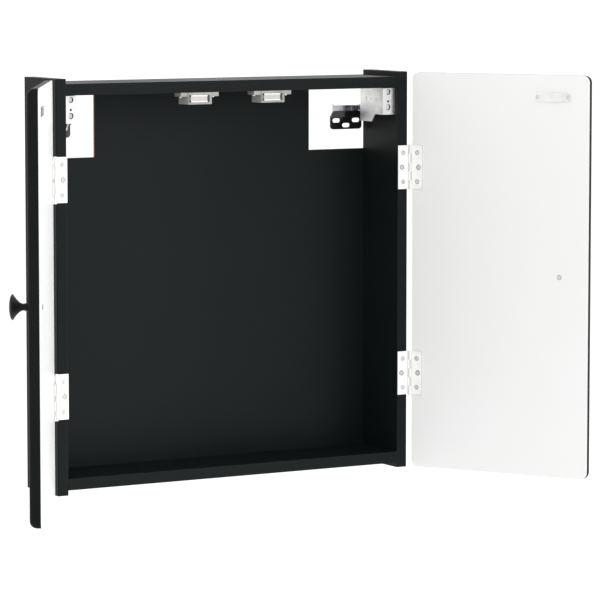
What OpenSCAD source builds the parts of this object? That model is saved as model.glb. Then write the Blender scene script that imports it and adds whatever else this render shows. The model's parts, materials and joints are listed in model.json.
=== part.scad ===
// Two-door wall cabinet with mirrored doors, hung on adjustable cabinet hangers.
// Frame: +X to the right seen from the front, +Y into the wall, +Z up.
// Origin: centre of the back panel's rear face, which is the plane of the wall.
// The cabinet is symmetric, so sub-parts are drawn for the right side and mirrored for the left.

/* [Carcass] */
// Overall width over the side panels
cabinet_w = 565; // [540:1:620]
// Height of the side panels
cabinet_h = 575; // [540:1:640]
// Depth of the side panels, without the back panel
side_depth = 97; // [97:1:130]
// Thickness of the carcass boards
board_t = 16; // [16:1:18]
// Thickness of the nailed-on back panel
back_t = 3; // [3:0.5:4]
// How far the side panels stand proud of the top and bottom panels
end_inset = 7; // [5:1:9]
// Size of the square notch in each upper corner of the back panel
notch = 92; // [88:1:100]

/* [Doors] */
// Thickness of a door, backing sheet and mirror included
door_t = 16; // [15:1:18]
// Rounding of the door's corners and of its front edges
door_r = 10; // [8:1:12]
// Space between the closed door and the carcass, taken up by the hinge leaves
door_gap = 5; // [5:0.5:6]
// Gap between the two closed doors
centre_gap = 4; // [2:0.5:6]
// How far each door stays inside the carcass outline at its top and bottom
door_reveal = 1; // [0.5:0.5:2]
// How far each closed door reaches past the side panel's outer face
door_overlap = 0.9; // [0:0.1:1]
// Angle at which both doors stand open
open_angle = 120; // [0:1:180]
// Thickness of the mirror glass
mirror_t = 3; // [3:0.5:4]
// Width of the board frame around the mirror
mirror_margin = 16; // [14:1:30]

/* [Knobs] */
// Diameter of the knob's cap
knob_d = 35; // [30:1:38]
// How far the knob stands out from the mirror
knob_out = 27.3; // [25:0.1:32]
// Distance from the knob's axis to the free edge of the door
knob_from_edge = 44.8; // [40:0.1:60]

/* [Hinges] */
// Length of a hinge
hinge_len = 63; // [60:1:70]
// Height of the hinge centres above and below mid-height
hinge_z = 149.5; // [130:0.5:170]
// Thickness of a hinge leaf
leaf_t = 1.5; // [1.2:0.1:1.6]
// Radius of the hinge knuckles
knuckle_r = 2.8; // [2.6:0.1:2.9]
// Radius of the hinge pin
pin_r = 1.5; // [1.4:0.1:1.6]

/* [Catches] */
// Distance of each magnetic catch from the middle of the cabinet
catch_x = 58.6; // [50:0.1:80]
// Width over the ears of a catch
catch_w = 60; // [58:1:64]

/* [Hangers] */
// Width of a hanger housing, measured from the side panel
hang_w = 20; // [20:1:24]
// Depth of a hanger housing
hang_d = 63; // [63:1:66]
// Height of a hanger housing
hang_h = 38; // [38:1:42]
// Distance from the front of the carcass back to the hanger housings
hang_setback = 9; // [8:1:10]

/* [Hidden] */
$fn = 48;

// Cutters run this far past the faces they cut
over = 1;

// Carcass planes
half_w = cabinet_w / 2;
half_h = cabinet_h / 2;
front_y = -(side_depth + back_t);
side_in = half_w - board_t;
shelf_top = half_h - end_inset;
shelf_under = shelf_top - board_t;
shelf_mid = shelf_top - board_t / 2;
edge_r = 1.2;

// Flat-pack joints between the side panels and the top and bottom panels
dowel_r = 4;
dowel_len = 30;
dowel_in_side = 10;
dowel_ys = [front_y + 16, -back_t - 16];
cam_r = 7.4;
cam_h = 12.2;
cam_from_side = 24;
cam_y = front_y + side_depth / 2;
cam_bolt_r = 2.5;
cam_bolt_in_side = 11;

// Back panel and its nails
back_inset = 2.5;
nail_r = 0.8;
nail_len = 18;
nail_head_r = 1.7;
nail_head_t = 0.6;
side_nail_zs = [-250, -150, -50, 50, 150];
bottom_nail_xs = [-200, -100, 0, 100, 200];
top_nail_xs = [-150, -50, 50, 150];

// Hinges: the pin stands just outside the side panel, halfway across the door gap
pin_x = half_w + knuckle_r + 0.4;
pin_y = front_y - door_gap / 2;
knuckles = 5;
knuckle_gap = 0.3;
knuckle_len = (hinge_len - (knuckles - 1) * knuckle_gap) / knuckles;
pin_run = 0.05;
pin_head_h = 1;
leaf_from_pin = knuckle_r + 0.4;
leaf_screw_zs = [-21, 0, 21];
leaf_screw_outs = [11, 13, 11];
leaf_screw_r = 1.6;
leaf_screw_head_r = 3;
leaf_screw_len = 14;

// Doors, drawn closed and then swung open
door_in_y = front_y - door_gap;
door_out_y = door_in_y - door_t;
door_x0 = centre_gap / 2;
door_x1 = half_w + door_overlap;
door_w = door_x1 - door_x0;
door_h = cabinet_h - 2 * door_reveal;
door_cx = (door_x0 + door_x1) / 2;
liner_t = 0.6;
mirror_w = door_w - 2 * mirror_margin;
mirror_h = door_h - 2 * mirror_margin;
mirror_r = 5;
tape_t = 1;
tape_w = 20;
mirror_slack = 0.5;

// Knobs and their machine screws
knob_x = door_x0 + knob_from_edge;
knob_screw_r = 2;
knob_screw_in = 10;
knob_foot_r = 8.5;
knob_neck_r = 4.5;
knob_neck_at = 8.7;
knob_rim_at = 22;
knob_curve = 1.7;
knob_rim_r = 0.6;
knob_head_r = 3.5;
knob_head_h = 0.9;

// Strike plates on the doors and catches under the top panel
strike_w = 57;
strike_h = 13.5;
strike_t = 1.2;
strike_z = half_h - 32.5;
strike_screw_x = 23.7;
strike_screw_len = 11;
small_head_r = 2.7;
catch_ear_t = 5.5;
catch_depth = 18.5;
catch_body_w = 37;
catch_body_rear_w = 43;
catch_body_h = 16.5;
catch_body_front = 1;
catch_body_depth = 23;
pocket_x0 = -17;
pocket_x1 = 15.3;
magnet_x0 = -15.5;
magnet_x1 = 10.5;
pole_t = 2;
pole_depth = 18;
pole_out = 3.4;
magnet_h = 6;
magnet_z = strike_z + 1;
catch_slot_r = 1.9;
catch_slot_len = 8;
catch_screw_r = 1.75;
catch_screw_len = 16;

// Hanger housing: a sheet-steel box on the inner face of the side panel
sheet = 1.5;
hang_x1 = side_in;
hang_x0 = hang_x1 - hang_w;
hang_cx = hang_x0 + 8.7;
hang_y0 = front_y + hang_setback;
hang_y1 = hang_y0 + hang_d;
hang_z1 = shelf_under - 1;
hang_z0 = hang_z1 - hang_h;
hang_floor_d = 31;
tab_drop = 11;
tab_start = 22.4;
depth_screw_z = hang_z1 - 5.2;
height_screw_z = hang_z0 + 10.5;
screw_head_r = 3.4;
screw_hole_r = 4.3;
head_sunk = 2.2;
head_t = 1.2;
bridge_y0 = hang_y0 + 3.7;
bridge_y1 = bridge_y0 + 0.8;
sight_hole_z = hang_z0 + 19;
hang_rivet_z = hang_z1 - 16.5;
hang_rivets = [[hang_y0 + 9, 2], [hang_y0 + 19, 1.2], [hang_y0 + 34, 1.2], [hang_y0 + 48.5, 2.7]];
peg_at = [[hang_y1 - 12, hang_z1 - 13.5], [hang_y1 - 12, hang_z0 + 6.5]];
peg_r = 5;
peg_len = 11;
peg_neck_r = 2.5;
peg_head_r = 4;
peg_head_t = 0.8;

// Adjusting screws, carriage and wedge inside a hanger
running = 0.05;
apart = 0.3;
depth_screw_r = 2;
height_screw_r = 2.5;
block_y0 = hang_y0 + 6;
block_y1 = block_y0 + 6;
block_x0 = hang_x0 + sheet + 1;
block_x1 = hang_x1 - sheet - 1;
block_z0 = hang_z0 + sheet + 0.6;
block_z1 = hang_z1 - sheet - 0.4;
rail_t = 2;
rail_y1 = block_y0 + 29.5;
height_travel = 4;
slope_rise = 2 * height_travel + 1.5;
wedge_low = height_screw_z + 4;
wedge_y0 = block_y1 + 6;
slope_y0 = wedge_y0 + 2;
slope_y1 = slope_y0 + slope_rise;
wedge_y1 = slope_y1 + 1.5;

// Hook: an arm in the housing, and a wide blade that drops behind the wall plate's lip
arm_t = 3;
arm_x0 = hang_x1 - 11.5;
arm_under = wedge_low + height_travel + 0.7;
arm_front_top = arm_under + 5.6;
arm_web = 3;
blade_y1 = -1;
blade_t = 2;
blade_w = 43;
blade_z0 = hang_z0 - 4;
blade_z1 = hang_z0 + 10.5;
spur_t = 1;
spur_h = 2.4;

// Wall plate: flat on the wall, with its top stepped forward into a lip
plate_w = 53;
plate_x0 = hang_x1 - 2 - plate_w;
plate_z0 = hang_z0 - 24.5;
plate_z1 = hang_z0 + 2.5;
plate_t = 2;
plate_r = 5;
lip_back = blade_y1 - blade_t - 0.4;
bend_z = blade_z0 - 0.4;
shoulder_z = plate_z1 - 4.5;
shoulder_w = 3.5;
tongue_w = 5.5;
tongue_h = 7;
slot_r = 3.1;
slot_len = 13;
slot_spacing = 33;
slot_z = plate_z0 + 13;
low_slot_z = plate_z0 + 5.8;

// Mirrors its children to the left side
module to_left() {
    mirror([1, 0, 0]) children();
}

// Draws its children on the right and mirrored on the left
module both_sides() {
    children();
    to_left() children();
}

// Swings a right-hand door part from closed to its open place about the hinge pin
module swung() {
    translate([pin_x, pin_y, 0]) rotate([0, 0, open_angle]) translate([-pin_x, -pin_y, 0]) children();
}

// Extrudes an outline drawn in X and Z, from y towards the front by t
module plate_xz(y, t) {
    translate([0, y, 0]) rotate([90, 0, 0]) linear_extrude(t) children();
}

// Extrudes an outline drawn in Y and Z, from x to the right by t
module plate_yz(x, t) {
    translate([x, 0, 0]) rotate([90, 0, 90]) linear_extrude(t) children();
}

// Box between two corners
module box(low, high) {
    translate(low) cube(high - low);
}

// Round rods along each axis
module rod_x(x0, x1, y, z, r) {
    translate([x0, y, z]) rotate([0, 90, 0]) cylinder(h = x1 - x0, r = r);
}
module rod_y(x, y0, y1, z, r) {
    translate([x, y0, z]) rotate([-90, 0, 0]) cylinder(h = y1 - y0, r = r);
}

// Rectangle with round corners, centred
module round_rect(w, h, r) {
    square([w - 2 * r, h], center = true);
    square([w, h - 2 * r], center = true);
    for (sx = [-1, 1], sz = [-1, 1]) translate([sx * (w / 2 - r), sz * (h / 2 - r)]) circle(r);
}

// Slot outline, centred, with full-round ends
module slot_outline(len, r) {
    square([len - 2 * r, 2 * r], center = true);
    for (s = [-1, 1]) translate([s * (len / 2 - r), 0]) circle(r);
}

// Two crossed recesses cut into a screw head whose top is at z = 0
module cross_recess(reach, depth) {
    for (a = [0, 90]) rotate([0, 0, a])
        translate([-reach, -0.45, -depth]) cube([2 * reach, 0.9, depth + over]);
}

// Countersunk wood screw, head top at z = 0 and point downwards
module wood_screw(len, r, head_r) {
    tip = 2 * r;
    difference() {
        union() {
            translate([0, 0, r - head_r]) cylinder(h = head_r - r, r1 = r, r2 = head_r);
            translate([0, 0, tip - len]) cylinder(h = len - tip, r = r);
            translate([0, 0, -len]) cylinder(h = tip, r1 = 0.3, r2 = r);
        }
        cross_recess(head_r * 0.6, 0.9);
    }
}

// The hole that the countersunk screw fills, with a little room past its point
module screw_hole(len, r, head_r) {
    translate([0, 0, r - head_r]) cylinder(h = head_r - r, r1 = r, r2 = head_r);
    translate([0, 0, -len - 0.5]) cylinder(h = len + 0.5, r = r);
}

// Places a screw or its hole on a face: pointing to +Y, -Y, +X and +Z
module into_y(at) {
    translate(at) rotate([90, 0, 0]) children();
}
module into_front(at) {
    translate(at) rotate([-90, 0, 0]) children();
}
module into_x(at) {
    translate(at) rotate([0, -90, 0]) children();
}
module into_z(at) {
    translate(at) rotate([180, 0, 0]) children();
}

// Places of the three screws of a right-hand leaf, at both hinges
module at_leaf_screws(y) {
    for (hz = [-hinge_z, hinge_z], i = [0:2])
        translate([pin_x - leaf_screw_outs[i], y, hz + leaf_screw_zs[i]]) children();
}

// ---------------------------------------------------------------- carcass

// Places its children at the mid-height of the top panel and of the bottom panel
module at_shelf_ends() {
    for (s = [-1, 1]) translate([0, 0, s * shelf_mid]) children();
}

// Right side panel, with the holes for dowels, cam bolts, hinge, hanger and back panel fixings
module side_panel_shape() {
    difference() {
        linear_extrude(cabinet_h, center = true) difference() {
            translate([side_in, front_y]) square([board_t, side_depth]);
            for (x = [side_in, half_w]) translate([x, front_y]) square(2 * edge_r, center = true);
        }
        at_shelf_ends() {
            for (y = dowel_ys) rod_x(side_in - over, side_in + dowel_in_side, y, 0, dowel_r);
            rod_x(side_in - over, side_in + cam_bolt_in_side, cam_y, 0, cam_bolt_r);
        }
        at_leaf_screws(front_y - leaf_t) into_y([0, 0, 0])
            screw_hole(leaf_screw_len, leaf_screw_r, leaf_screw_head_r);
        for (f = peg_at) rod_x(side_in - over, side_in + peg_len, f[0], f[1], peg_r);
        for (z = side_nail_zs) rod_y(side_in + board_t / 2, -nail_len, over, z, nail_r);
    }
    for (x = [side_in + edge_r, half_w - edge_r])
        translate([x, front_y + edge_r, 0]) cylinder(h = cabinet_h, r = edge_r, center = true);
}

module side_panel_right() {
    color("#26292b") side_panel_shape();
}

module side_panel_left() {
    color("#26292b") to_left() side_panel_shape();
}

// Board between the sides, drawn as the top panel with its joint bores in the ends
module cross_board() {
    difference() {
        box([-side_in, front_y, shelf_under], [side_in, -back_t, shelf_top]);
        both_sides() {
            for (y = dowel_ys)
                rod_x(side_in + dowel_in_side - dowel_len, side_in + over, y, shelf_mid, dowel_r);
            rod_x(side_in - cam_from_side, side_in + over, cam_y, shelf_mid, dowel_r);
            translate([side_in - cam_from_side, cam_y, shelf_top - cam_h - 0.3])
                cylinder(h = board_t, r = cam_r);
        }
    }
}

module top_panel() {
    color("#2a2d2f") difference() {
        cross_board();
        at_catches() at_catch_screws() translate([0, 0, -catch_screw_len - 0.5])
            cylinder(h = catch_screw_len, r = catch_screw_r);
        for (x = top_nail_xs) rod_y(x, -nail_len, over, shelf_mid, nail_r);
    }
}

module bottom_panel() {
    color("#2a2d2f") difference() {
        mirror([0, 0, 1]) cross_board();
        for (x = bottom_nail_xs) rod_y(x, -nail_len, over, -shelf_mid, nail_r);
    }
}

// Where the nails of the back panel go
module at_nails() {
    for (s = [-1, 1], z = side_nail_zs) translate([s * (side_in + board_t / 2), 0, z]) children();
    for (x = bottom_nail_xs) translate([x, 0, -shelf_mid]) children();
    for (x = top_nail_xs) translate([x, 0, shelf_mid]) children();
}

module back_panel() {
    edge_x = half_w - back_inset;
    edge_z = shelf_top - 1.5;
    notch_x = side_in - notch;
    notch_z = shelf_under - notch;
    color("#2b2f31") difference() {
        plate_xz(0, back_t) polygon([[-edge_x, -edge_z], [edge_x, -edge_z],
            [edge_x, notch_z], [notch_x, notch_z], [notch_x, edge_z],
            [-notch_x, edge_z], [-notch_x, notch_z], [-edge_x, notch_z]]);
        at_nails() {
            rod_y(0, -nail_len, over, 0, nail_r);
            rod_y(0, -nail_head_t, over, 0, nail_head_r);
        }
    }
}

module panel_dowels() {
    color("burlywood") both_sides() at_shelf_ends() for (y = dowel_ys)
        rod_x(side_in + dowel_in_side - dowel_len, side_in + dowel_in_side, y, 0, dowel_r);
}

// Cam that grips the bolt's head: a disc with a side channel and a driver recess
module cam_lock() {
    difference() {
        translate([0, 0, -cam_h / 2]) cylinder(h = cam_h, r = cam_r);
        rod_x(-3.5, cam_r + over, 0, cam_h / 2 - board_t / 2, 3.7);
        translate([0, 0, cam_h / 2]) cross_recess(4, 2);
    }
}

module cam_locks() {
    color("silver") for (s = [0, 1]) mirror([0, 0, s]) both_sides()
        translate([side_in - cam_from_side, cam_y, shelf_top - cam_h / 2]) cam_lock();
}

module cam_bolts() {
    neck_x = side_in - cam_from_side;
    color("lightgrey") both_sides() at_shelf_ends() {
        rod_x(neck_x, side_in + cam_bolt_in_side, cam_y, 0, cam_bolt_r);
        rod_x(side_in - 3, side_in, cam_y, 0, 3.4);
        rod_x(neck_x - 2, neck_x + 2, cam_y, 0, 3.4);
    }
}

module back_panel_nails() {
    color("dimgray") at_nails() {
        rod_y(0, -nail_len + 1.6, -nail_head_t, 0, nail_r);
        rod_y(0, -nail_head_t, 0, 0, nail_head_r);
        translate([0, -nail_len, 0]) rotate([-90, 0, 0]) cylinder(h = 1.6, r1 = 0.2, r2 = nail_r);
    }
}

// ---------------------------------------------------------------- hinges

// One leaf of a right-hand hinge, closed, lying on the plane y and growing by t towards the front
module leaf(y, first, bore_r) {
    pitch = knuckle_len + knuckle_gap;
    difference() {
        union() {
            box([side_in, y, -hinge_len / 2], [pin_x - leaf_from_pin, y + leaf_t, hinge_len / 2]);
            for (k = [first:2:knuckles - 1]) translate([0, 0, k * pitch - hinge_len / 2]) {
                box([pin_x - leaf_from_pin - over, y, 0], [pin_x - pin_r - 0.1, y + leaf_t, knuckle_len]);
                translate([pin_x, pin_y, 0]) cylinder(h = knuckle_len, r = knuckle_r);
            }
        }
        translate([pin_x, pin_y, -hinge_len]) cylinder(h = 2 * hinge_len, r = bore_r);
    }
}

module cabinet_leaf(hz) {
    color("gainsboro") difference() {
        translate([0, 0, hz]) leaf(front_y - leaf_t, 0, pin_r);
        at_leaf_screws(front_y - leaf_t) into_y([0, 0, 0])
            screw_hole(leaf_screw_len, leaf_screw_r, leaf_screw_head_r);
    }
}

module door_leaf(hz) {
    color("gainsboro") difference() {
        translate([0, 0, hz]) leaf(door_in_y, 1, pin_r + pin_run);
        at_leaf_screws(door_in_y + leaf_t) into_front([0, 0, 0])
            screw_hole(leaf_screw_len, leaf_screw_r, leaf_screw_head_r);
    }
}

module cabinet_leaf_right_upper() {
    cabinet_leaf(hinge_z);
}

module cabinet_leaf_right_lower() {
    cabinet_leaf(-hinge_z);
}

module cabinet_leaf_left_upper() {
    to_left() cabinet_leaf(hinge_z);
}

module cabinet_leaf_left_lower() {
    to_left() cabinet_leaf(-hinge_z);
}

module door_leaf_right_upper() {
    swung() door_leaf(hinge_z);
}

module door_leaf_right_lower() {
    swung() door_leaf(-hinge_z);
}

module door_leaf_left_upper() {
    to_left() swung() door_leaf(hinge_z);
}

module door_leaf_left_lower() {
    to_left() swung() door_leaf(-hinge_z);
}

// Pins fixed in the cabinet leaves, with a flat head at each end
module hinge_pins() {
    color("lightgrey") both_sides() for (hz = [-hinge_z, hinge_z]) translate([pin_x, pin_y, hz]) {
        cylinder(h = hinge_len, r = pin_r, center = true);
        for (s = [-1, 1]) translate([0, 0, s * (hinge_len + pin_head_h) / 2])
            cylinder(h = pin_head_h, r = knuckle_r - 0.5, center = true);
    }
}

module cabinet_leaf_screws() {
    color("silver") both_sides() at_leaf_screws(front_y - leaf_t) into_y([0, 0, 0])
        wood_screw(leaf_screw_len, leaf_screw_r, leaf_screw_head_r);
}

module door_leaf_screws() {
    at_leaf_screws(door_in_y + leaf_t) into_front([0, 0, 0])
        wood_screw(leaf_screw_len - 2, leaf_screw_r, leaf_screw_head_r);
}

module door_leaf_screws_right() {
    color("silver") swung() door_leaf_screws();
}

module door_leaf_screws_left() {
    color("silver") to_left() swung() door_leaf_screws();
}

// ---------------------------------------------------------------- doors

// Quarter disc on one side of the axis, the section of the rounding along a front edge
module quarter_disc(s) {
    intersection() {
        circle(door_r);
        translate([min(0, s * door_r), 0]) square(door_r);
    }
}

// Board blank: round corners, and a quarter-round all along the front edges
module door_blank() {
    w = door_w - 2 * door_r;
    h = door_h - 2 * door_r;
    translate([door_cx, 0, 0]) {
        plate_xz(door_in_y - liner_t, door_t - liner_t - door_r) round_rect(door_w, door_h, door_r);
        translate([0, door_out_y + door_r, 0]) rotate([90, 0, 0]) {
            translate([-w / 2, -h / 2, 0]) cube([w, h, door_r]);
            for (s = [-1, 1]) {
                translate([s * w / 2, h / 2, 0]) rotate([90, 0, 0]) linear_extrude(h) quarter_disc(s);
                translate([-w / 2, s * h / 2, 0]) rotate([90, 0, 90]) linear_extrude(w) quarter_disc(s);
            }
            for (q = [[1, 1], [-1, 1], [-1, -1], [1, -1]])
                translate([q.x * w / 2, q.y * h / 2, 0])
                    rotate([0, 0, atan2(q.y, q.x) - 45]) rotate_extrude(angle = 90) quarter_disc(1);
        }
    }
}

// Holes that pass through the liner and into the board: leaf screws, strike screws and knob screw
module door_holes() {
    at_leaf_screws(door_in_y + leaf_t) into_front([0, 0, 0])
        screw_hole(leaf_screw_len - 2, leaf_screw_r, leaf_screw_head_r);
    at_strike_screws() screw_hole(strike_screw_len, leaf_screw_r, small_head_r);
    rod_y(knob_x, door_out_y - over, door_in_y + over, 0, knob_screw_r);
}

module door_panel() {
    depth = mirror_t + tape_t;
    difference() {
        door_blank();
        translate([door_cx, 0, 0]) plate_xz(door_out_y + depth, depth + over)
            round_rect(mirror_w + 2 * mirror_slack, mirror_h + 2 * mirror_slack, mirror_r + mirror_slack);
        door_holes();
    }
}

module door_panel_right() {
    color("#1f2224") swung() door_panel();
}

module door_panel_left() {
    color("#1f2224") to_left() swung() door_panel();
}

// White backing sheet on the inside of a door
module door_liner() {
    difference() {
        translate([door_cx, 0, 0]) plate_xz(door_in_y, liner_t) round_rect(door_w, door_h, door_r);
        door_holes();
    }
}

module door_liner_right() {
    color("white") swung() door_liner();
}

module door_liner_left() {
    color("white") to_left() swung() door_liner();
}

module mirror_glass() {
    difference() {
        translate([door_cx, 0, 0]) plate_xz(door_out_y + mirror_t, mirror_t)
            round_rect(mirror_w, mirror_h, mirror_r);
        rod_y(knob_x, door_out_y - over, door_in_y, 0, knob_screw_r + 1);
    }
}

module mirror_right() {
    color("lightblue") swung() mirror_glass();
}

module mirror_left() {
    color("lightblue") to_left() swung() mirror_glass();
}

// Four strips of foam tape that hold the mirror
module mirror_tape() {
    for (i = [0:3]) translate([door_cx + (i - 1.5) * mirror_w / 5, 0, 0])
        plate_xz(door_out_y + mirror_t + tape_t, tape_t) square([tape_w, mirror_h - 60], center = true);
}

module mirror_tape_right() {
    color("grey") swung() mirror_tape();
}

module mirror_tape_left() {
    color("grey") to_left() swung() mirror_tape();
}

// Turned knob: a foot, a slim neck that flares out to the rim, and a low domed cap
module knob() {
    steps = 12;
    rim = knob_d / 2;
    spread = rim - 0.4 - knob_neck_r;
    rise = knob_rim_at - knob_neck_at;
    foot = [for (i = [0:steps / 2]) let (t = 1 - 2 * i / steps)
        [knob_neck_r + (knob_foot_r - knob_neck_r) * pow(t, knob_curve), knob_neck_at * (1 - t)]];
    flare = [for (i = [1:steps]) let (t = i / steps)
        [knob_neck_r + spread * pow(t, knob_curve), knob_neck_at + rise * t]];
    dome = [for (i = [0:steps]) let (a = 90 * i / steps)
        [(rim - 0.4) * cos(a), knob_rim_at + knob_rim_r + (knob_out - knob_rim_at - knob_rim_r) * sin(a)]];
    difference() {
        translate([knob_x, door_out_y, 0]) rotate([90, 0, 0]) rotate_extrude()
            polygon(concat([[0, 0]], foot, flare, [[rim, knob_rim_at + knob_rim_r / 2]], dome));
        rod_y(knob_x, door_out_y - knob_screw_in - 0.5, door_out_y + over, 0, knob_screw_r);
    }
}

module knob_right() {
    color("#141414") swung() knob();
}

module knob_left() {
    color("#141414") to_left() swung() knob();
}

// Machine screw with a low head, through the door into the knob
module knob_screw() {
    shank = door_t + knob_screw_in;
    translate([knob_x, door_in_y, 0]) rotate([-90, 0, 0]) difference() {
        union() {
            cylinder(h = knob_head_h, r1 = knob_head_r, r2 = knob_head_r - 0.7);
            translate([0, 0, -shank]) cylinder(h = shank, r = knob_screw_r);
        }
        translate([0, 0, knob_head_h]) cross_recess(1.6, 1.3);
    }
}

module knob_screw_right() {
    color("silver") swung() knob_screw();
}

module knob_screw_left() {
    color("silver") to_left() swung() knob_screw();
}

// Places of the two strike plate screws, head outwards on the door's inner face
module at_strike_screws() {
    for (s = [-1, 1]) into_front([catch_x + s * strike_screw_x, door_in_y + strike_t, strike_z]) children();
}

module strike_plate() {
    difference() {
        translate([catch_x, 0, strike_z]) plate_xz(door_in_y + strike_t, strike_t)
            slot_outline(strike_w, strike_h / 2);
        at_strike_screws() screw_hole(strike_screw_len, leaf_screw_r, small_head_r);
    }
}

module strike_plate_right() {
    color("whitesmoke") swung() strike_plate();
}

module strike_plate_left() {
    color("whitesmoke") to_left() swung() strike_plate();
}

module strike_screws() {
    at_strike_screws() wood_screw(strike_screw_len, leaf_screw_r, small_head_r);
}

module strike_screws_right() {
    color("silver") swung() strike_screws();
}

module strike_screws_left() {
    color("silver") to_left() swung() strike_screws();
}

// ---------------------------------------------------------------- magnetic catches

// Places its children at both catches, which are the same part turned the same way
module at_catches() {
    for (s = [-1, 1]) translate([s * catch_x, 0, 0]) children();
}

// Places of the two screws of a catch, under its ears and pointing up
module at_catch_screws() {
    from_middle = (catch_w + catch_body_rear_w) / 4;
    for (s = [-1, 1]) into_z([s * from_middle, front_y + catch_depth / 2, shelf_under - catch_ear_t])
        children();
}

// Block as deep as the magnet and as tall as the magnet with its two pole plates
module magnet_block(x0, x1) {
    box([x0, front_y - pole_out, magnet_z - magnet_h / 2 - pole_t],
        [x1, front_y - pole_out + pole_depth, magnet_z + magnet_h / 2 + pole_t]);
}

module catch_housing() {
    front = front_y - catch_body_front;
    rear = front + catch_body_depth;
    difference() {
        union() {
            box([-catch_w / 2, front_y, shelf_under - catch_ear_t],
                [catch_w / 2, front_y + catch_depth, shelf_under]);
            translate([0, 0, shelf_under - catch_body_h]) linear_extrude(catch_body_h)
                polygon([[-catch_body_w / 2, front], [catch_body_w / 2, front],
                    [catch_body_rear_w / 2, rear], [-catch_body_rear_w / 2, rear]]);
        }
        magnet_block(pocket_x0, pocket_x1);
        at_catch_screws() translate([0, 0, -catch_ear_t - over]) linear_extrude(catch_ear_t + 2 * over)
            rotate([0, 0, 90]) slot_outline(catch_slot_len, catch_slot_r);
    }
}

module catch_housing_right() {
    color("#c8c8c4") translate([catch_x, 0, 0]) catch_housing();
}

module catch_housing_left() {
    color("#c8c8c4") translate([-catch_x, 0, 0]) catch_housing();
}

module catch_magnets() {
    color("#8a8a8a") at_catches()
        box([magnet_x0, front_y - pole_out + 0.8, magnet_z - magnet_h / 2],
            [magnet_x1, front_y - pole_out + pole_depth, magnet_z + magnet_h / 2]);
}

module catch_pole_plates() {
    color("white") at_catches() difference() {
        magnet_block(magnet_x0, magnet_x1);
        box([magnet_x0 - over, front_y - pole_out - over, magnet_z - magnet_h / 2],
            [magnet_x1 + over, front_y - pole_out + pole_depth + over, magnet_z + magnet_h / 2]);
    }
}

module catch_screws() {
    head_r = 3.2;
    head_h = 1.8;
    color("silver") at_catches() at_catch_screws() difference() {
        union() {
            cylinder(h = head_h, r1 = head_r, r2 = head_r - 1);
            translate([0, 0, 3 - catch_screw_len]) cylinder(h = catch_screw_len - 3, r = catch_screw_r);
            translate([0, 0, -catch_screw_len]) cylinder(h = 3, r1 = 0.3, r2 = catch_screw_r);
        }
        translate([0, 0, head_h]) cross_recess(1.8, 1);
    }
}

// ---------------------------------------------------------------- hangers

// Outline in Y and Z of the housing's inboard wall, with the tab at the rear
module housing_wall_outline() {
    polygon([[hang_y0, hang_z0], [hang_y0 + tab_start, hang_z0], [hang_y0 + hang_floor_d, hang_z0 - tab_drop],
        [hang_y1, hang_z0 - tab_drop], [hang_y1, hang_z1], [hang_y0, hang_z1]]);
}

// The front wall, and the bridge behind it that keeps the depth screw from moving along
module hanger_housing() {
    outer_x = hang_x1 - sheet;
    difference() {
        union() {
            plate_yz(hang_x0, sheet) housing_wall_outline();
            box([outer_x, hang_y0, hang_z0], [hang_x1, hang_y1, hang_z1]);
            box([hang_x0, hang_y0, hang_z0], [hang_x1, hang_y0 + sheet, hang_z1]);
            box([hang_x0, hang_y0, hang_z1 - sheet], [hang_x1, hang_y1, hang_z1]);
            box([hang_x0, hang_y0, hang_z0], [hang_x1, hang_y0 + tab_start, hang_z0 + sheet]);
            box([hang_x0, bridge_y0, depth_screw_z - 6], [hang_x1, bridge_y1, hang_z1]);
            for (rivet = hang_rivets) rod_x(hang_x0 - 0.5, hang_x0, rivet[0], hang_rivet_z, rivet[1]);
        }
        rod_y(hang_cx, hang_y0 - over, hang_y0 + sheet + 0.5, depth_screw_z, screw_hole_r);
        rod_y(hang_cx, bridge_y0 - 0.5, bridge_y1 + 0.5, depth_screw_z, depth_screw_r + running);
        rod_y(hang_cx, hang_y0 - over, hang_y0 + sheet + over, height_screw_z, screw_hole_r);
        rod_y(hang_cx, hang_y0 - over, hang_y0 + sheet + over, sight_hole_z, 1.7);
        for (f = peg_at) rod_x(outer_x - over, hang_x1 + over, f[0], f[1], peg_neck_r);
    }
}

module hanger_housing_right() {
    color("#c4c4c0") hanger_housing();
}

module hanger_housing_left() {
    color("#c4c4c0") to_left() hanger_housing();
}

// Pegs pressed into the side panel: a neck through the sheet and a flat head inside the housing
module hanger_pegs() {
    inside_x = side_in - sheet;
    color("#d8d8d0") both_sides() for (f = peg_at) {
        rod_x(side_in, side_in + peg_len, f[0], f[1], peg_r);
        rod_x(inside_x, side_in, f[0], f[1], peg_neck_r);
        rod_x(inside_x - peg_head_t, inside_x, f[0], f[1], peg_head_r);
    }
}

// Screw that draws the carriage along Y: its head turns in the front wall
module depth_screw() {
    collar_y = bridge_y1 + apart;
    head_y = hang_y0 + head_sunk;
    translate([hang_cx, 0, depth_screw_z]) difference() {
        union() {
            rod_y(0, head_y, head_y + head_t, 0, screw_head_r);
            rod_y(0, head_y + head_t, block_y1 + 11, 0, depth_screw_r);
            rod_y(0, collar_y, collar_y + 0.8, 0, 3.2);
        }
        translate([0, head_y, 0]) rotate([90, 0, 0]) cross_recess(2.3, 0.9);
    }
}

module depth_screw_right() {
    color("silver") depth_screw();
}

module depth_screw_left() {
    color("silver") to_left() depth_screw();
}

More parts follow.
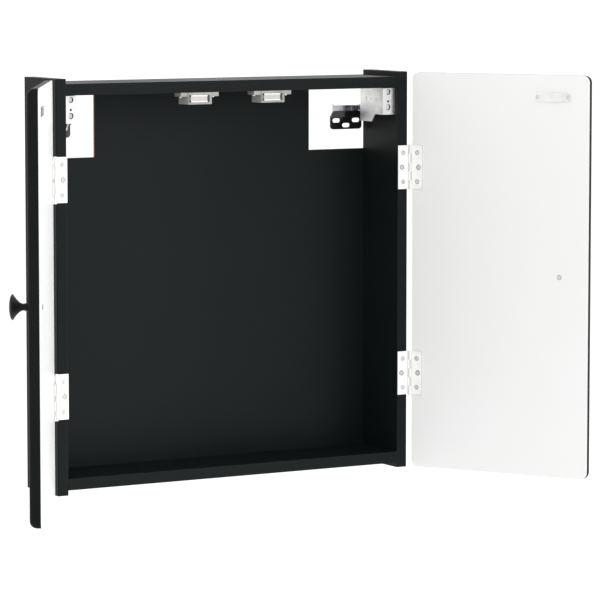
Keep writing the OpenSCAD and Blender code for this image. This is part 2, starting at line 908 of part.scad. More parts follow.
// Block that the depth screw moves, with a rail for the wedge and a groove for the hook's arm
module carriage() {
    groove_z0 = arm_under - height_travel - 0.4;
    groove_z1 = arm_front_top + height_travel + 0.4;
    difference() {
        union() {
            box([block_x0, block_y0, block_z0], [block_x1, block_y1, block_z1]);
            box([block_x0, block_y0, block_z0], [block_x1, rail_y1, block_z0 + rail_t]);
        }
        rod_y(hang_cx, block_y0 - over, block_y1 + over, depth_screw_z, depth_screw_r + running);
        rod_y(hang_cx, block_y0 - over, block_y1 + over, height_screw_z, height_screw_r + running);
        box([arm_x0 - 0.4, block_y1 - 4, groove_z0], [arm_x0 + arm_t + 0.4, block_y1 + over, groove_z1]);
    }
}

module carriage_right() {
    color("#b0a890") carriage();
}

module carriage_left() {
    color("#b0a890") to_left() carriage();
}

// Screw that drives the wedge: it turns in the carriage and its head shows in the front wall
module height_screw() {
    translate([hang_cx, 0, height_screw_z]) difference() {
        union() {
            rod_y(0, hang_y0 + head_sunk, block_y0 - 0.4, 0, screw_head_r);
            rod_y(0, block_y0 - 0.4, rail_y1 + 0.5, 0, height_screw_r);
            rod_y(0, block_y1 + 0.4, block_y1 + 1.6, 0, 4);
        }
        translate([0, hang_y0 + head_sunk, 0]) rotate([90, 0, 0]) cross_recess(2.3, 0.9);
    }
}

module height_screw_right() {
    color("silver") height_screw();
}

module height_screw_left() {
    color("silver") to_left() height_screw();
}

// Wedge on the height screw: its 45 degree top lifts the hook's arm
module height_wedge() {
    difference() {
        plate_yz(block_x0 + 1, block_x1 - block_x0 - 2) polygon([[wedge_y0, block_z0 + rail_t + apart],
            [wedge_y1, block_z0 + rail_t + apart], [wedge_y1, wedge_low + slope_rise],
            [slope_y1, wedge_low + slope_rise], [slope_y0, wedge_low], [wedge_y0, wedge_low]]);
        rod_y(hang_cx, wedge_y0 - over, wedge_y1 + over, height_screw_z, height_screw_r + running);
    }
}

module height_wedge_right() {
    color("#b8862b") height_wedge();
}

module height_wedge_left() {
    color("#b8862b") to_left() height_wedge();
}

// Arm and blade of the hook; the arm's slope runs parallel to the wedge
module hook() {
    lift = 0.45;
    rear_flat = wedge_low + slope_rise + height_travel + 0.7;
    arm_top = rear_flat + arm_web;
    slope_front = slope_y0 + arm_under - wedge_low - lift;
    slope_rear = slope_front + rear_flat - arm_under;
    arm_front = block_y1 - 3.6;
    step_y = block_y1 + 12;
    drop_y = rail_y1 + 1.2;
    arm_low = plate_z1 + 0.7;
    tail_top = blade_z1 + 3.5;
    right_x = arm_x0 + arm_t;
    left_x = right_x - blade_w;
    blade_y0 = blade_y1 - blade_t;
    plate_yz(arm_x0, arm_t) polygon([[arm_front, arm_under], [slope_front, arm_under],
        [slope_rear, rear_flat], [drop_y, rear_flat], [drop_y, arm_low], [blade_y0, arm_low],
        [blade_y0, blade_z1], [hang_y1 + 6, tail_top], [drop_y + 5, tail_top],
        [drop_y + 3, arm_top], [step_y, arm_top], [step_y, arm_front_top], [arm_front, arm_front_top]]);
    box([left_x, blade_y0, blade_z0], [right_x, blade_y1, blade_z1]);
    box([left_x, blade_y0, blade_z0], [left_x + spur_t, blade_y1, blade_z1 + spur_h]);
}

module hook_right() {
    color("#d0d4dc") hook();
}

module hook_left() {
    color("#d0d4dc") to_left() hook();
}

// Front outline of the wall plate: round lower corners and sloping shoulders
module wall_plate_outline() {
    mid = plate_z0 + plate_r;
    translate([plate_x0 + plate_w / 2, 0]) {
        for (s = [-1, 1]) translate([s * (plate_w / 2 - plate_r), mid]) circle(plate_r);
        translate([plate_r - plate_w / 2, plate_z0]) square([plate_w - 2 * plate_r, plate_r + 1]);
        polygon([[-plate_w / 2, mid], [plate_w / 2, mid],
            [plate_w / 2, shoulder_z], [plate_w / 2 - shoulder_w, plate_z1],
            [shoulder_w - plate_w / 2, plate_z1], [-plate_w / 2, shoulder_z]]);
    }
}

// The three slots: two level with each other, one below between them
module wall_plate_slots() {
    translate([plate_x0 + plate_w / 2, 0]) {
        for (s = [-1, 1]) translate([s * slot_spacing / 2, slot_z]) slot_outline(slot_len, slot_r);
        translate([0, low_slot_z]) slot_outline(slot_len, slot_r);
    }
}

module wall_plate() {
    lip_front = lip_back - plate_t;
    tongue_x = arm_x0 - 0.5 - tongue_w;
    difference() {
        intersection() {
            union() {
                box([plate_x0, -plate_t, plate_z0], [plate_x0 + plate_w, 0, bend_z]);
                box([plate_x0, lip_front, bend_z - plate_t], [plate_x0 + plate_w, 0, bend_z]);
                box([plate_x0, lip_front, bend_z - plate_t], [plate_x0 + plate_w, lip_back, plate_z1]);
            }
            plate_xz(over, 10) wall_plate_outline();
        }
        plate_xz(over, 10) wall_plate_slots();
    }
    box([tongue_x, lip_front, plate_z1 - over], [tongue_x + tongue_w, lip_back, plate_z1 + tongue_h]);
}

module wall_plate_right() {
    color("#17191b") wall_plate();
}

module wall_plate_left() {
    color("#17191b") to_left() wall_plate();
}

side_panel_left();
side_panel_right();
top_panel();
bottom_panel();
back_panel();
panel_dowels();
cam_locks();
cam_bolts();
back_panel_nails();
cabinet_leaf_left_upper();
cabinet_leaf_left_lower();
cabinet_leaf_right_upper();
cabinet_leaf_right_lower();
door_leaf_left_upper();
door_leaf_left_lower();
door_leaf_right_upper();
door_leaf_right_lower();
hinge_pins();
cabinet_leaf_screws();
door_leaf_screws_left();
door_leaf_screws_right();
door_panel_left();
door_panel_right();
door_liner_left();
door_liner_right();
mirror_left();
mirror_right();
mirror_tape_left();
mirror_tape_right();
knob_left();
knob_right();
knob_screw_left();
knob_screw_right();
strike_plate_left();
strike_plate_right();
strike_screws_left();
strike_screws_right();
catch_housing_left();
catch_housing_right();
catch_magnets();
catch_pole_plates();
catch_screws();
hanger_housing_left();
hanger_housing_right();
hanger_pegs();
depth_screw_left();
depth_screw_right();
carriage_left();
carriage_right();
height_screw_left();
height_screw_right();
height_wedge_left();
height_wedge_right();
hook_left();
hook_right();
wall_plate_left();
wall_plate_right();
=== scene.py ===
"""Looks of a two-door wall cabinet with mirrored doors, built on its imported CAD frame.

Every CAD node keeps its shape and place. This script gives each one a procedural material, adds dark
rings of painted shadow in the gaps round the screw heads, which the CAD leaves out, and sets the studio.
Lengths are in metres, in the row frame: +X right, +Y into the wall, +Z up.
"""
import json
import math

import bmesh
import bpy
from mathutils import Euler, Matrix, Vector


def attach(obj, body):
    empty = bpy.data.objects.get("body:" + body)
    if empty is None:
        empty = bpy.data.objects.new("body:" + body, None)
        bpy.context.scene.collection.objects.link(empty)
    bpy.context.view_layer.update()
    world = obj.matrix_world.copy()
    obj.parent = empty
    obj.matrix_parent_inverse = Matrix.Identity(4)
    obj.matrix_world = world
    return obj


MM = 0.001
SIDES = ("left", "right")

CAMERA_AT = (-2.4824, -4.5388, 0.4818)
CAMERA_DOWN_DEG = 5.741
CAMERA_TURN_DEG = -30.22
LENS_MM = 217.3
SENSOR_MM = 36.0

WORLD_STRENGTH = 1.15
FLOOR_HALF = 14.0
FLOOR_HEIGHT = -0.75

# Lighter colour laid on the boards' sharp edges: a painted highlight.
HIGHLIGHT_FOIL = (0.05, 0.05, 0.047)
DARK_BACK = (0.0046, 0.0071, 0.0076)
EVEN_GRAIN = (900.0, 900.0, 900.0)
COARSE_GRAIN = (700.0, 700.0, 700.0)
BOARD_RIM = 0.0012
SMALL_RIM = 0.0004
# Cosine of the bevelled normal's lean where a rim's shading begins, and where it is full.
RIM_BEGINS = 0.995
RIM_FULL = 0.8
THREAD_PITCH = 0.001
# A wave texture of scale 1 repeats about every 0.314 m.
WAVE_PERIOD = 0.314

# Radius of the dark ring of painted shadow in the gap round a screw's head.
HEAD_GAP = 0.32 * MM
STRIKE_GAP = 0.2 * MM
ADJUSTER_GAP = 0.42 * MM
# The middle screw of each hinge leaf has a wider ring of painted gap shadow than the two beside it.
SCREWS_PER_LEAF = 3
MIDDLE_GAP_RATIO = 1.9

# Corner points this near to each other are one point.
WELD = 0.01 * MM
# Flat faces are grouped by their level in this step, and one lies outermost within the tolerance.
LEVEL_STEP = 0.05 * MM
LEVEL_TOLERANCE = 0.02 * MM

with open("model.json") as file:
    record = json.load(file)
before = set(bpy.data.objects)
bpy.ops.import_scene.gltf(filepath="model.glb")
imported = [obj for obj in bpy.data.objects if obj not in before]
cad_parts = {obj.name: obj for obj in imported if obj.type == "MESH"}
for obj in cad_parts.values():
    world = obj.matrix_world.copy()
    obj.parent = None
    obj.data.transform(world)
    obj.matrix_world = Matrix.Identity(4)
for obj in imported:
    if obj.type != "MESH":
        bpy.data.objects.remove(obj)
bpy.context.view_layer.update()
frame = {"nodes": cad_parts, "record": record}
nodes = frame["nodes"]


# ---------------------------------------------------------------- camera

def add_camera():
    """A long lens from the front left, looking slightly down."""
    data = bpy.data.cameras.new("camera")
    data.sensor_width = SENSOR_MM
    data.lens = LENS_MM
    data.clip_start = 0.1
    data.clip_end = 100.0
    camera = bpy.data.objects.new("camera", data)
    camera.location = CAMERA_AT
    camera.rotation_euler = Euler((math.radians(90.0 - CAMERA_DOWN_DEG), 0.0, math.radians(CAMERA_TURN_DEG)))
    bpy.context.scene.collection.objects.link(camera)
    bpy.context.scene.camera = camera


# ---------------------------------------------------------------- studio

def add_area(name, at, aim, size, watts):
    """A square white soft box at one point, turned towards another."""
    data = bpy.data.lights.new(name, "AREA")
    data.shape = "SQUARE"
    data.size = size
    data.energy = watts
    light = bpy.data.objects.new(name, data)
    light.location = at
    light.rotation_euler = (Vector(aim) - Vector(at)).to_track_quat("-Z", "Y").to_euler()
    bpy.context.scene.collection.objects.link(light)


def add_studio():
    """A white room: white world, a pale floor well below the cabinet, and soft boxes."""
    scene = bpy.context.scene
    scene.view_settings.view_transform = "Standard"
    world = bpy.data.worlds.new("studio")
    scene.world = world
    world.use_nodes = True
    background = world.node_tree.nodes["Background"]
    background.inputs["Color"].default_value = (1.0, 1.0, 1.0, 1.0)
    background.inputs["Strength"].default_value = WORLD_STRENGTH

    mesh = bpy.data.meshes.new("floor")
    signs = ((-1, -1), (1, -1), (1, 1), (-1, 1))
    mesh.from_pydata([(x * FLOOR_HALF, y * FLOOR_HALF, FLOOR_HEIGHT) for x, y in signs], [], [(0, 1, 2, 3)])
    floor = bpy.data.objects.new("floor", mesh)
    scene.collection.objects.link(floor)
    material = bpy.data.materials.new("floor_white")
    material.use_nodes = True
    shader = material.node_tree.nodes["Principled BSDF"]
    shader.inputs["Base Color"].default_value = (0.93, 0.93, 0.93, 1.0)
    shader.inputs["Roughness"].default_value = 0.9
    mesh.materials.append(material)

    add_area("key_right", at=(4.2, -2.0, 0.5), aim=(0.0, 0.0, 0.0), size=2.4, watts=170.0)
    add_area("fill_left", at=(-1.2, -3.2, 2.3), aim=(0.0, 0.0, -0.1), size=1.8, watts=30.0)


# ---------------------------------------------------------------- materials

class Surface:
    """A node material, with short calls for the nodes used here."""

    def __init__(self, name, colour, roughness, metallic=0.0, specular=0.5):
        self.material = bpy.data.materials.new(name)
        self.material.use_nodes = True
        self.tree = self.material.node_tree
        self.shader = self.tree.nodes["Principled BSDF"]
        self.set("Base Color", (*colour, 1.0))
        self.set("Roughness", roughness)
        self.set("Metallic", metallic)
        self.set("Specular IOR Level", specular)
        self.coordinates = self.tree.nodes.new("ShaderNodeTexCoord").outputs["Object"]
        self.height = None

    def set(self, socket, value):
        self.shader.inputs[socket].default_value = value

    def link(self, socket, output):
        self.tree.links.new(output, self.shader.inputs[socket])

    def stretched(self, scale):
        """Object coordinates with their own scale along each axis."""
        node = self.tree.nodes.new("ShaderNodeMapping")
        node.inputs["Scale"].default_value = scale
        self.tree.links.new(self.coordinates, node.inputs["Vector"])
        return node.outputs["Vector"]

    def noise(self, scale, detail, rough=0.5, vector=None):
        node = self.tree.nodes.new("ShaderNodeTexNoise")
        node.inputs["Scale"].default_value = scale
        node.inputs["Detail"].default_value = detail
        node.inputs["Roughness"].default_value = rough
        self.tree.links.new(vector or self.coordinates, node.inputs["Vector"])
        return node.outputs["Fac"]

    def speckle(self, scale):
        node = self.tree.nodes.new("ShaderNodeTexVoronoi")
        node.inputs["Scale"].default_value = scale
        self.tree.links.new(self.coordinates, node.inputs["Vector"])
        return node.outputs["Distance"]

    def remap(self, value, low, high, to_low=0.0, to_high=1.0):
        """Stretches one range of a value onto another, and holds it within that range."""
        node = self.tree.nodes.new("ShaderNodeMapRange")
        ends = {"From Min": low, "From Max": high, "To Min": to_low, "To Max": to_high}
        for socket, number in ends.items():
            node.inputs[socket].default_value = number
        self.tree.links.new(value, node.inputs["Value"])
        return node.outputs["Result"]

    def mix(self, factor, first, second):
        """Blends two colours; either may be a socket."""
        node = self.tree.nodes.new("ShaderNodeMix")
        node.data_type = "RGBA"
        self.tree.links.new(factor, node.inputs["Factor"])
        for socket, colour in ((node.inputs[6], first), (node.inputs[7], second)):
            if isinstance(colour, bpy.types.NodeSocket):
                self.tree.links.new(colour, socket)
            else:
                socket.default_value = (*colour, 1.0)
        return node.outputs[2]

    def maths(self, operation, first, second):
        """One sum on two values; either may be a socket."""
        node = self.tree.nodes.new("ShaderNodeMath")
        node.operation = operation
        for socket, value in zip(node.inputs, (first, second)):
            if isinstance(value, bpy.types.NodeSocket):
                self.tree.links.new(value, socket)
            else:
                socket.default_value = value
        return node.outputs["Value"]

    def facing(self, direction):
        """How far the surface's own normal points along a direction, from -1 to 1."""
        node = self.tree.nodes.new("ShaderNodeVectorMath")
        node.operation = "DOT_PRODUCT"
        coordinates = self.tree.nodes.new("ShaderNodeTexCoord")
        self.tree.links.new(coordinates.outputs["Normal"], node.inputs[0])
        node.inputs[1].default_value = direction
        return node.outputs["Value"]

    def rims(self, radius):
        """1 along the shape's sharp edges and 0 on its flats, within a radius of the edge."""
        bevel = self.tree.nodes.new("ShaderNodeBevel")
        bevel.samples = 4
        bevel.inputs["Radius"].default_value = radius
        geometry = self.tree.nodes.new("ShaderNodeNewGeometry")
        turn = self.tree.nodes.new("ShaderNodeVectorMath")
        turn.operation = "DOT_PRODUCT"
        self.tree.links.new(bevel.outputs["Normal"], turn.inputs[0])
        self.tree.links.new(geometry.outputs["Normal"], turn.inputs[1])
        return self.remap(turn.outputs["Value"], RIM_BEGINS, RIM_FULL)

    def threads(self, direction, pitch):
        """Ridges that repeat once a pitch along a direction."""
        node = self.tree.nodes.new("ShaderNodeTexWave")
        node.bands_direction = direction
        node.wave_profile = "TRI"
        node.inputs["Scale"].default_value = WAVE_PERIOD / pitch
        self.tree.links.new(self.coordinates, node.inputs["Vector"])
        return node.outputs["Fac"]

    def bump(self, height, distance, strength):
        """Adds one layer of bump, chained after the layers before it."""
        node = self.tree.nodes.new("ShaderNodeBump")
        node.inputs["Distance"].default_value = distance
        node.inputs["Strength"].default_value = strength
        self.tree.links.new(height, node.inputs["Height"])
        if self.height is not None:
            self.tree.links.new(self.height, node.inputs["Normal"])
        self.height = node.outputs["Normal"]
        self.link("Normal", self.height)


def foil(name, colour, roughness, specular):
    """Dark foil: faint pearl texture and a drift of sheen. Gives back the surface and its drift."""
    s = Surface(name, colour, roughness, specular=specular)
    drift = s.noise(5.0, detail=3.0)
    fine = s.noise(900.0, detail=5.0, rough=0.6)
    s.link("Roughness", s.remap(s.maths("ADD", drift, fine), 0.7, 1.3, roughness - 0.05, roughness + 0.06))
    s.bump(fine, distance=0.0001, strength=0.5)
    s.bump(s.noise(60.0, detail=2.0), distance=0.00006, strength=0.3)
    return s, drift


def melamine(name, colour, warm, roughness, specular):
    """Foil-faced board: its shade drifts slowly between two tones, and its edges carry a painted highlight,
    laid on in patches.
    """
    s, drift = foil(name, colour, roughness, specular)
    patches = s.remap(s.noise(45.0, detail=5.0, rough=0.7), 0.48, 0.68, 0.0, 0.7)
    # Painted highlight: the board's sharp edges are lightened, in patches.
    edge_highlight = s.maths("MULTIPLY", s.rims(BOARD_RIM), patches)
    shade = s.mix(s.remap(drift, 0.35, 0.65), colour, warm)
    s.link("Base Color", s.mix(edge_highlight, shade, HIGHLIGHT_FOIL))
    return s


def back_board():
    """Thin fibreboard: dark foil towards the inside, raw brown board on its edges and rear face."""
    s, _ = foil("back_board_foil", DARK_BACK, roughness=0.45, specular=0.13)
    fibres = s.noise(1.0, detail=8.0, rough=0.7, vector=s.stretched((220.0, 220.0, 420.0)))
    brown = s.mix(s.remap(fibres, 0.3, 0.7), (0.19, 0.105, 0.055), (0.36, 0.23, 0.135))
    raw = s.remap(s.facing((0.0, 1.0, 0.0)), -0.6, -0.5)
    s.link("Base Color", s.mix(raw, DARK_BACK, brown))
    return s


def liner_white():
    """White sheet on the doors' inner faces: satin, with a soft drift of tone."""
    s = Surface("liner_white_sheet", (0.86, 0.86, 0.85), 0.38)
    cloud = s.remap(s.noise(3.0, detail=3.0), 0.35, 0.65)
    s.link("Base Color", s.mix(cloud, (0.74, 0.742, 0.74), (0.73, 0.728, 0.717)))
    s.link("Roughness", s.remap(s.noise(40.0, detail=4.0), 0.3, 0.7, 0.34, 0.42))
    s.bump(s.noise(700.0, detail=4.0), distance=0.00004, strength=0.25)
    return s


def metal(name, colour, dull, roughness, grain=(900.0, 900.0, 60.0), depth=0.00004, metallic=1.0):
    """Plated or brushed metal: fine lines along one axis, blotches of sheen, marks, and rims lightened as a
    painted highlight.
    """
    s = Surface(name, colour, roughness, metallic)
    lines = s.noise(1.0, detail=3.0, rough=0.6, vector=s.stretched(grain))
    blotch = s.noise(90.0, detail=4.0)
    marks = s.speckle(420.0)
    plated = s.mix(s.remap(blotch, 0.35, 0.7), colour, dull)
    # Painted highlight: a lighter copy of the colour, laid along the rims.
    highlight_colour = tuple(min(0.97, 1.15 * c) for c in colour)
    s.link("Base Color", s.mix(s.maths("MULTIPLY", s.rims(SMALL_RIM), 0.6), plated, highlight_colour))
    s.link("Roughness", s.remap(s.maths("ADD", lines, blotch), 0.6, 1.4, roughness - 0.07, roughness + 0.09))
    s.bump(lines, distance=depth, strength=0.7)
    s.bump(marks, distance=depth, strength=0.25)
    return s


def hinge_leaf(name, flat_normal):
    """Nickel-plated leaf, with painted shade darkening its rolled barrel where the normal leans off the
    flat.
    """
    s = metal(name, (0.96, 0.955, 0.94), (0.9, 0.895, 0.875), roughness=0.38, metallic=0.5)
    plated = s.shader.inputs["Base Color"].links[0].from_socket
    # Painted shade: the colour darkens where the normal turns away from the leaf's flat, round the barrel.
    lean = s.maths("ABSOLUTE", s.facing(flat_normal), 0.0)
    s.link("Base Color", s.mix(s.remap(lean, 0.9, 0.99, 1.0, 0.0), plated, (0.6, 0.595, 0.58)))
    return s


def threaded(name):
    """Zinc-plated adjusting screw: thread ridges along its length, which lies along Y."""
    s = metal(name, (0.7, 0.71, 0.74), (0.55, 0.56, 0.58), roughness=0.3, grain=COARSE_GRAIN)
    s.bump(s.threads("Y", THREAD_PITCH), distance=0.0003, strength=0.8)
    return s


def mirror_glass(name, front):
    """Silvered glass: a clean mirror on the face, green glass on the ground edges, grey paint behind."""
    s = Surface(name, (0.8, 0.83, 0.82), 0.01, 1.0)
    haze = s.noise(12.0, detail=4.0)
    ground = s.noise(600.0, detail=4.0)
    facing = s.facing(front)
    is_face = s.remap(facing, 0.8, 0.9)
    is_rear = s.remap(facing, -0.8, -0.9)
    hazy = s.remap(haze, 0.3, 0.7)
    grainy = s.remap(ground, 0.3, 0.7)
    silver = s.mix(hazy, (0.79, 0.825, 0.815), (0.77, 0.805, 0.795))
    edge = s.mix(grainy, (0.16, 0.27, 0.23), (0.1, 0.2, 0.165))
    paint = s.mix(grainy, (0.13, 0.135, 0.14), (0.1, 0.105, 0.11))
    s.link("Base Color", s.mix(is_face, s.mix(is_rear, edge, paint), silver))
    s.link("Metallic", is_face)
    face_roughness = s.remap(haze, 0.3, 0.7, 0.008, 0.03)
    s.link("Roughness", s.maths("ADD", face_roughness, s.remap(is_face, 0.0, 1.0, 0.3, 0.0)))
    return s


def plastic(name, colour, second, roughness, depth, coat=0.0, specular=0.5, rim_highlight=None):
    """Moulded plastic or lacquer: mould texture, slight flow marks, rims lightened a little as a painted
    highlight.
    """
    s = Surface(name, colour, roughness, specular=specular)
    flow = s.noise(1.0, detail=3.0, rough=0.5, vector=s.stretched((60.0, 60.0, 25.0)))
    rim_highlight = rim_highlight or tuple(c + 0.02 for c in second)
    mottled = s.mix(s.remap(flow, 0.35, 0.65), colour, second)
    # Painted highlight: the rims are lightened a little.
    s.link("Base Color", s.mix(s.maths("MULTIPLY", s.rims(SMALL_RIM), 0.5), mottled, rim_highlight))
    s.link("Roughness", s.remap(s.noise(300.0, detail=4.0), 0.3, 0.7, roughness - 0.08, roughness + 0.1))
    s.bump(s.noise(1100.0, detail=3.0), distance=depth, strength=0.6)
    if coat:
        s.set("Coat Weight", coat)
        s.set("Coat Roughness", 0.08)
    return s


def beech():
    """Raw turned beech, grain along the dowel."""
    s = Surface("beech_grain", (0.6, 0.42, 0.25), 0.6)
    grain = s.noise(1.0, detail=6.0, rough=0.6, vector=s.stretched((60.0, 900.0, 900.0)))
    s.link("Base Color", s.mix(s.remap(grain, 0.3, 0.7), (0.62, 0.44, 0.27), (0.42, 0.26, 0.14)))
    s.bump(grain, distance=0.0001, strength=0.4)
    return s


def ferrite():
    """Sintered ferrite magnet: dull, pinkish grey, grainy."""
    s = Surface("magnet_ferrite_grain", (0.46, 0.43, 0.43), 0.7)
    grain = s.noise(1500.0, detail=5.0, rough=0.7)
    s.link("Base Color", s.mix(s.remap(grain, 0.3, 0.7), (0.52, 0.48, 0.48), (0.38, 0.355, 0.355)))
    s.bump(grain, distance=0.00008, strength=0.5)
    return s


def foam():
    """Grey foam tape with open cells."""
    s = Surface("foam_tape_cells", (0.25, 0.25, 0.25), 0.9)
    cells = s.speckle(1600.0)
    s.link("Base Color", s.mix(s.remap(cells, 0.0, 0.6), (0.12, 0.12, 0.12), (0.34, 0.34, 0.33)))
    s.bump(cells, distance=0.0002, strength=0.6)
    return s


def make_boards():
    """The materials of the boards and sheets, by slot. Each mirror has its own: see special_surfaces."""
    return {
        "carcass_board": melamine(
            "carcass_board_foil", (0.0058, 0.008, 0.0081), (0.0066, 0.0088, 0.0089),
            roughness=0.42, specular=0.08),
        "door_board": melamine(
            "door_board_foil", (0.0085, 0.0097, 0.0098), (0.0095, 0.0106, 0.0107),
            roughness=0.36, specular=0.02),
        "back_board": back_board(),
        "liner_white": liner_white(),
        "foam_tape": foam(),
    }


def make_fittings():
    """The materials of the hinges, screws, knobs, catches, hangers and dowels, by slot."""
    return {
        "hinge_steel": metal(
            "hinge_nickel", (0.92, 0.915, 0.9), (0.85, 0.845, 0.825), roughness=0.38, metallic=0.55),
        "screw_steel": metal(
            "screw_zinc", (0.74, 0.75, 0.76), (0.6, 0.6, 0.6), roughness=0.27, grain=EVEN_GRAIN),
        "knob_black": plastic(
            "knob_black_lacquer", (0.0095, 0.0095, 0.01), (0.012, 0.012, 0.0125), roughness=0.3,
            depth=0.00004, specular=0.08),
        "strike_steel": metal("strike_plate_zinc", (0.74, 0.74, 0.73), (0.68, 0.68, 0.67), roughness=0.15),
        "catch_plastic": plastic(
            "catch_grey_plastic", (0.25, 0.25, 0.245), (0.33, 0.33, 0.32), roughness=0.45,
            depth=0.0002, specular=0.25),
        "magnet_ferrite": ferrite(),
        "pole_steel": metal("pole_plate_steel", (0.82, 0.82, 0.81), (0.72, 0.72, 0.72), roughness=0.28),
        "hanger_steel": metal(
            "hanger_zinc", (0.76, 0.76, 0.74), (0.68, 0.68, 0.665),
            roughness=0.34, grain=(500.0, 60.0, 500.0)),
        "hook_steel": metal("hook_blue_zinc", (0.63, 0.66, 0.7), (0.5, 0.53, 0.58), roughness=0.22),
        "cast_zinc": metal(
            "cast_zinc_rough", (0.5, 0.5, 0.48), (0.4, 0.4, 0.39),
            roughness=0.5, grain=COARSE_GRAIN, depth=0.00008),
        "brass_wedge": metal("machined_brass", (0.78, 0.58, 0.26), (0.66, 0.47, 0.2), roughness=0.3),
        # The plate's brownish rim colour is a painted highlight: glints along its bends.
        "plate_black": plastic(
            "plate_black_enamel", (0.006, 0.006, 0.0065), (0.009, 0.0085, 0.008), roughness=0.16,
            depth=0.00006, coat=0.8, rim_highlight=(0.2, 0.13, 0.085)),
        "beech": beech(),
        "nail_steel": metal("nail_wire_steel", (0.42, 0.42, 0.42), (0.3, 0.3, 0.3), roughness=0.45),
    }


def mirror_front(side):
    """The direction that a door's mirror faces, from the way its glass lies off the door's liner."""
    mirror, liner = nodes[f"mirror_{side}"], nodes[f"door_liner_{side}"]
    outward = middle(mirror) - middle(liner)
    faces = [p for p in mirror.data.polygons if p.normal.dot(outward) > 0.0]
    return tuple(max(faces, key=lambda p: p.area).normal)


def middle(obj):
    """Middle of an object's bounding box, in its own coordinates."""
    corners = [Vector(c) for c in obj.bound_box]
    return sum(corners, Vector()) / len(corners)


def special_surfaces():
    """Materials of the nodes that differ from the rest of their slot."""
    special = {
        "cam_locks": metal("cam_black_zinc", (0.03, 0.031, 0.032), (0.02, 0.021, 0.022), roughness=0.45),
    }
    cabinet_leaf = hinge_leaf("hinge_nickel_cabinet", (0.0, -1.0, 0.0))
    depth_thread = threaded("depth_screw_thread")
    height_thread = threaded("height_screw_thread")
    for side in SIDES:
        front = mirror_front(side)
        special[f"mirror_{side}"] = mirror_glass(f"mirror_silver_{side}", front)
        door_leaf = hinge_leaf(f"hinge_nickel_{side}", front)
        for level in ("upper", "lower"):
            special[f"cabinet_leaf_{side}_{level}"] = cabinet_leaf
            special[f"door_leaf_{side}_{level}"] = door_leaf
        special[f"depth_screw_{side}"] = depth_thread
        special[f"height_screw_{side}"] = height_thread
    return special


def dress_nodes(surfaces, special):
    """Puts each slot's material on the CAD nodes of that slot, but for those with their own."""
    for part in frame["record"]["subparts"]:
        mesh = nodes[part["node"]].data
        surface = special.get(part["node"]) or surfaces[part["material_slot"]]
        for index in range(len(mesh.materials)):
            mesh.materials[index] = surface.material


# ---------------------------------------------------------------- fine pieces

def loose_parts(obj):
    """The polygons of each separate solid of a node, found by the corner points that they share."""
    mesh = obj.data
    root = {}

    def find(key):
        while root.setdefault(key, key) != key:
            key = root[key]
        return key

    keys = [tuple(round(c / WELD) for c in v.co) for v in mesh.vertices]
    for polygon in mesh.polygons:
        first = find(keys[polygon.vertices[0]])
        for vertex in polygon.vertices[1:]:
            root[find(keys[vertex])] = first
    parts = {}
    for polygon in mesh.polygons:
        parts.setdefault(find(keys[polygon.vertices[0]]), []).append(polygon)
    return list(parts.values())


def screw_heads(obj):
    """Centre, outward direction and radius of the head of each screw in a node: its largest end face."""
    heads = []
    points = [obj.matrix_world @ v.co for v in obj.data.vertices]
    turn = obj.matrix_world.to_3x3()
    for part in loose_parts(obj):
        planes = {}
        for polygon in part:
            out = (turn @ polygon.normal).normalized()
            level = out.dot(points[polygon.vertices[0]])
            key = (*(round(c, 2) for c in out), round(level / LEVEL_STEP))
            area, _, _, corners = planes.get(key, (0.0, None, None, []))
            planes[key] = (area + polygon.area, out, level, corners + list(polygon.vertices))
        corners = {i for polygon in part for i in polygon.vertices}
        ends = [(area, out, rim) for area, out, level, rim in planes.values()
                if all(out.dot(points[i]) < level + LEVEL_TOLERANCE for i in corners)]
        _, out, rim = max(ends, key=lambda end: end[0])
        low = Vector([min(points[i][axis] for i in rim) for axis in range(3)])
        high = Vector([max(points[i][axis] for i in rim) for axis in range(3)])
        centre = (low + high) / 2.0
        heads.append((centre, out, max((points[i] - centre).length for i in rim)))
    return heads


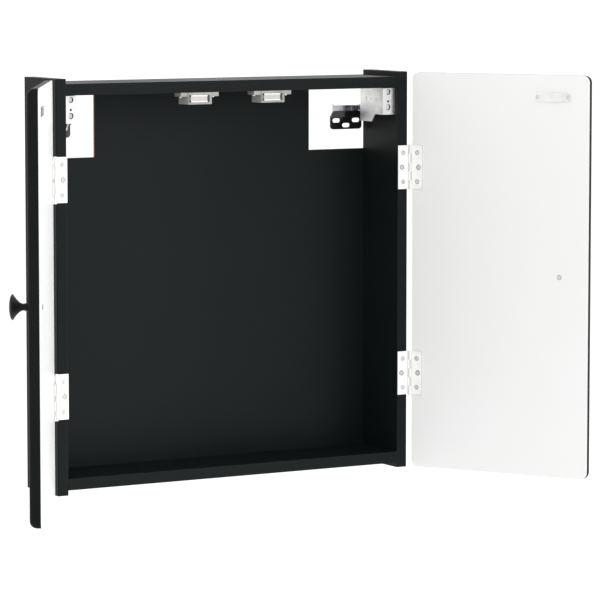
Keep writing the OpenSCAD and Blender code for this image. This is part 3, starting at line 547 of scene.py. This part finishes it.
def torus(mesh, place, major, minor):
    """Adds a smooth round ring to a bmesh, about the local Z axis of a placement."""
    around, across = 40, 8
    loops = []
    for i in range(around):
        a = math.tau * i / around
        loops.append([])
        for j in range(across):
            b = math.tau * j / across
            reach = major + minor * math.cos(b)
            loops[-1].append(mesh.verts.new(place @ Vector((
                reach * math.cos(a), reach * math.sin(a), minor * math.sin(b)))))
    for i in range(around):
        for j in range(across):
            near, far = loops[i], loops[(i + 1) % around]
            face = mesh.faces.new((near[j], far[j], far[(j + 1) % across], near[(j + 1) % across]))
            face.smooth = True


def add_rings(name, screws, body, material, thickness=HEAD_GAP, heavy_middle=False):
    """A dark ring of painted shadow in the gap round each countersunk head; the middle one of each leaf may
    be wider.
    """
    mesh_data = bmesh.new()
    # The left side's heads come first, then the right side's, each from the bottom up.
    heads = sorted(screw_heads(nodes[screws]), key=lambda head: (head[0].x > 0.0, head[0].z))
    for index, (centre, out, radius) in enumerate(heads):
        heavy = heavy_middle and index % SCREWS_PER_LEAF == 1
        minor = thickness * (MIDDLE_GAP_RATIO if heavy else 1.0)
        turn = out.to_track_quat("Z", "Y").to_matrix().to_4x4()
        # The ring lies just outside the head's rim, with a quarter of its radius above the head's face.
        sunk = Matrix.Translation(centre - out * 0.75 * minor)
        torus(mesh_data, sunk @ turn, radius + 0.5 * minor, minor)
    mesh = bpy.data.meshes.new(name)
    mesh_data.to_mesh(mesh)
    mesh_data.free()
    mesh.materials.append(material)
    ring = bpy.data.objects.new(name, mesh)
    bpy.context.scene.collection.objects.link(ring)
    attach(ring, body)


def add_all_rings():
    """Rings of painted gap shadow round the screw heads, each set on the body that holds the head's seat."""
    # Painted shadow: a near-black material for the rings that stand in for the shade in each gap.
    ring_shade = metal(
        "painted_gap_shadow", (0.03, 0.03, 0.03), (0.015, 0.015, 0.016), roughness=0.6, grain=EVEN_GRAIN)
    gap = ring_shade.material
    add_rings("cabinet_screw_rings", "cabinet_leaf_screws", "carcass", gap, heavy_middle=True)
    for side in SIDES:
        door = f"door_{side}"
        add_rings(f"door_screw_rings_{side}", f"door_leaf_screws_{side}", door, gap, heavy_middle=True)
        add_rings(f"strike_screw_rings_{side}", f"strike_screws_{side}", door, gap, STRIKE_GAP)
        add_rings(f"knob_screw_ring_{side}", f"knob_screw_{side}", door, gap)
        for screw in ("depth_screw", "height_screw"):
            add_rings(f"{screw}_ring_{side}", f"{screw}_{side}", "carcass", gap, ADJUSTER_GAP)


# ---------------------------------------------------------------- the scene

add_camera()
add_studio()
dress_nodes({**make_boards(), **make_fittings()}, special_surfaces())
add_all_rings()
